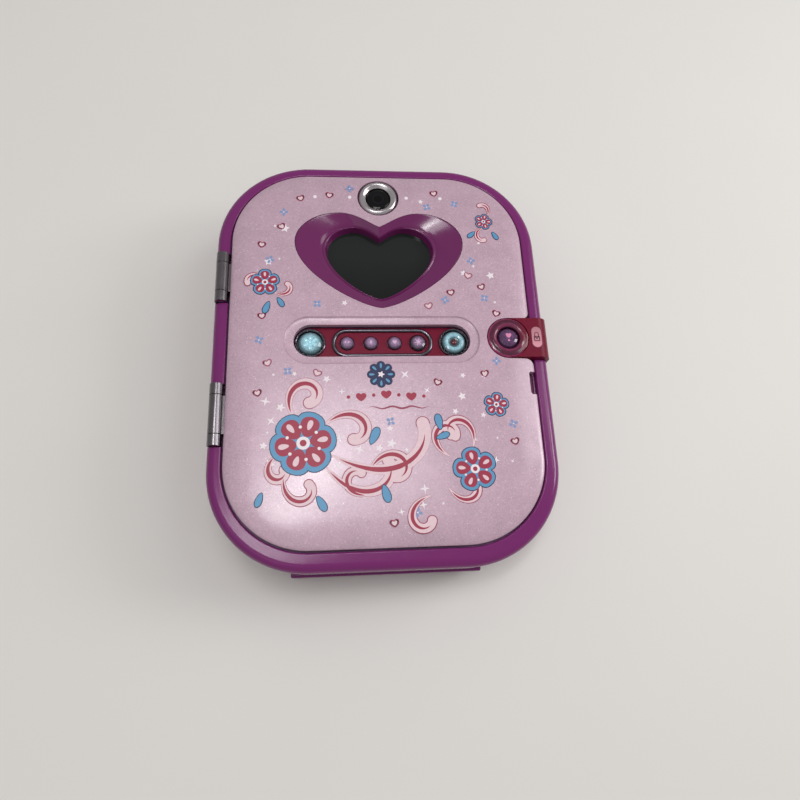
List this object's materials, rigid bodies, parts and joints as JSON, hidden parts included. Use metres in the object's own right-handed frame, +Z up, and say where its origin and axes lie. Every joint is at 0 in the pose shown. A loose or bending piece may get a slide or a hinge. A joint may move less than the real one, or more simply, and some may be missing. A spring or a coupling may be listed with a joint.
{
  "type": "electronic secret diary",
  "caption": "Children's electronic diary case with a hinged lid, heart-shaped screen window, key row, electric lock and pull-out drawer.",
  "frame": {"origin": "on the table under the middle of the case, which lies on its back", "axes": "+X from the hinge side to the latch side, +Y from the drawer side to the camera side, +Z up out of the lid"},
  "size_m": [0.1558, 0.199, 0.0457],
  "materials": {
    "case_plastic": "moulded ABS, low gloss",
    "lid_plastic": "pearl pink moulded ABS with a printed cover",
    "deck_plastic": "satin moulded ABS",
    "bezel_plastic": "polished ABS",
    "red_plastic": "polished ABS",
    "clear_wine_plastic": "tinted clear polycarbonate",
    "blue_key_plastic": "tinted clear acrylic",
    "purple_key_plastic": "tinted clear acrylic",
    "icon_plastic": "printed ABS",
    "chrome": "bright plated",
    "steel": "zinc plated",
    "screen_glass": "smoked acrylic window",
    "camera_glass": "black lens",
    "board": "solder-masked laminate",
    "chip": "moulded epoxy",
    "silicone": "moulded silicone",
    "rubber": "moulded rubber",
    "lcd": "display module",
    "white_plastic": "moulded frame",
    "cell": "shrink-wrapped steel can",
    "paper": "uncoated paper",
    "card": "laminated card",
    "lead": "PVC-insulated wire",
    "copper": "wound coil"
  },
  "bodies": {
    "case": {"bottom_case": "case_plastic", "top_frame": "case_plastic", "deck_panel": "deck_plastic", "storage_well": "deck_plastic", "heart_bezel": "bezel_plastic", "screen_lens": "screen_glass", "lcd_panel": "lcd", "lcd_holder": "white_plastic", "main_board": "board", "board_chips": "chip", "key_board": "board", "key_mat": "silicone", "key_plate": "red_plastic", "key_trim": "chrome", "key_frames": "chrome", "camera_ring": "chrome", "camera_lens": "camera_glass", "camera_module": "chip", "speaker": "chip", "microphone": "steel", "headphone_jack": "chip", "usb_port": "steel", "battery_door": "case_plastic", "door_screw": "steel", "aa_cell_1": "cell", "aa_cell_2": "cell", "aa_cell_3": "cell", "aa_cell_4": "cell", "battery_contacts": "steel", "rubber_feet": "rubber", "case_screws": "steel", "latch_housing": "red_plastic", "latch_ring": "clear_wine_plastic", "latch_icon_plate": "icon_plastic", "latch_switch": "board", "latch_solenoid": "copper", "hinge_leaf_upper": "chrome", "hinge_leaf_lower": "chrome", "hinge_pins": "steel", "notebook_cover": "card", "notebook_pages": "paper", "speaker_lead": "lead", "battery_lead": "lead"},
    "lid": {"lid_shell": "lid_plastic", "lid_liner": "deck_plastic", "lid_catch": "steel", "lid_screws": "steel", "lid_leaf_upper": "chrome", "lid_leaf_lower": "chrome"},
    "drawer": {"drawer_tray": "deck_plastic", "drawer_front": "case_plastic"},
    "key_left": {"left_key": "blue_key_plastic"},
    "key_right": {"right_key": "blue_key_plastic"},
    "key_1": {"number_key_1": "purple_key_plastic"},
    "key_2": {"number_key_2": "purple_key_plastic"},
    "key_3": {"number_key_3": "purple_key_plastic"},
    "key_4": {"number_key_4": "purple_key_plastic"},
    "lock_button": {"latch_button": "purple_key_plastic"},
    "lock_bolt": {"latch_bolt": "steel"}
  },
  "joints": [
    {"name": "lid_hinge", "type": "hinge", "parent": "case", "child": "lid", "pos_m": [-0.074, 0, 0.042], "axis": [0, -1, 0], "range_deg": [0, 150]},
    {"name": "drawer_slide", "type": "slide", "parent": "case", "child": "drawer", "axis": [0, -1, 0], "range_m": [0, 0.055]},
    {"name": "left_key_press", "type": "slide", "parent": "case", "child": "key_left", "axis": [0, 0, -1], "range_m": [0, 0.0008], "stiffness_N_per_m": 400},
    {"name": "right_key_press", "type": "slide", "parent": "case", "child": "key_right", "axis": [0, 0, -1], "range_m": [0, 0.0008], "stiffness_N_per_m": 400},
    {"name": "number_key_1_press", "type": "slide", "parent": "case", "child": "key_1", "axis": [0, 0, -1], "range_m": [0, 0.0008], "stiffness_N_per_m": 300},
    {"name": "number_key_2_press", "type": "slide", "parent": "case", "child": "key_2", "axis": [0, 0, -1], "range_m": [0, 0.0008], "stiffness_N_per_m": 300},
    {"name": "number_key_3_press", "type": "slide", "parent": "case", "child": "key_3", "axis": [0, 0, -1], "range_m": [0, 0.0008], "stiffness_N_per_m": 300},
    {"name": "number_key_4_press", "type": "slide", "parent": "case", "child": "key_4", "axis": [0, 0, -1], "range_m": [0, 0.0008], "stiffness_N_per_m": 300},
    {"name": "lock_button_press", "type": "slide", "parent": "case", "child": "lock_button", "axis": [0, 0, -1], "range_m": [0, 0.0012], "stiffness_N_per_m": 400},
    {"name": "lock_bolt_slide", "type": "slide", "parent": "case", "child": "lock_bolt", "axis": [1, 0, 0], "range_m": [0, 0.0035]}
  ]
}
